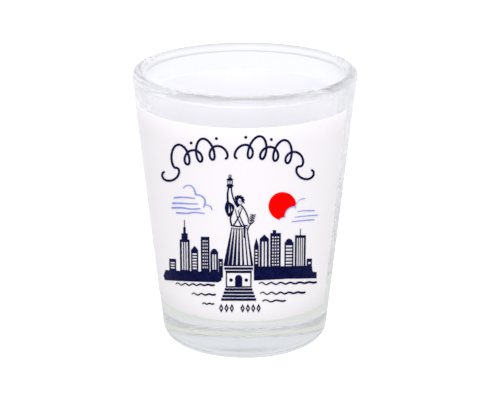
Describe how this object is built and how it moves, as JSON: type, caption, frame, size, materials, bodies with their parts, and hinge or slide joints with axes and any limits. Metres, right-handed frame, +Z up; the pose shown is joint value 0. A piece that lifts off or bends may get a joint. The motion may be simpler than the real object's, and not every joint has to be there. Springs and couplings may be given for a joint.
{
  "type": "shot glass",
  "caption": "Tapered clear shot glass with a heavy base, a white wrap coat and a printed navy harbour scene with a red sun.",
  "frame": {"origin": "centre of the foot, on the plane the glass stands on", "axes": "+Z up along the axis of the glass, -Y out of the front where the printed scene is, +X to the viewer's right"},
  "size_m": [0.0482, 0.0482, 0.06],
  "materials": {
    "clear_glass": "polished",
    "white_coat": "gloss",
    "navy_ink": "gloss",
    "red_ink": "gloss",
    "lavender_ink": "gloss",
    "sky_ink": "gloss"
  },
  "bodies": {
    "root": {"glass_body": "clear_glass", "white_coating": "white_coat", "title_flourish": "navy_ink", "sun_disc": "red_ink", "cloud_edge": "sky_ink", "cloud_streaks": "lavender_ink", "left_cloud": "lavender_ink", "left_skyline": "navy_ink", "right_skyline": "navy_ink", "monument_figure": "navy_ink", "pedestal": "navy_ink", "left_waves": "navy_ink", "right_waves": "navy_ink", "caption_ornament": "navy_ink"}
  },
  "joints": []
}
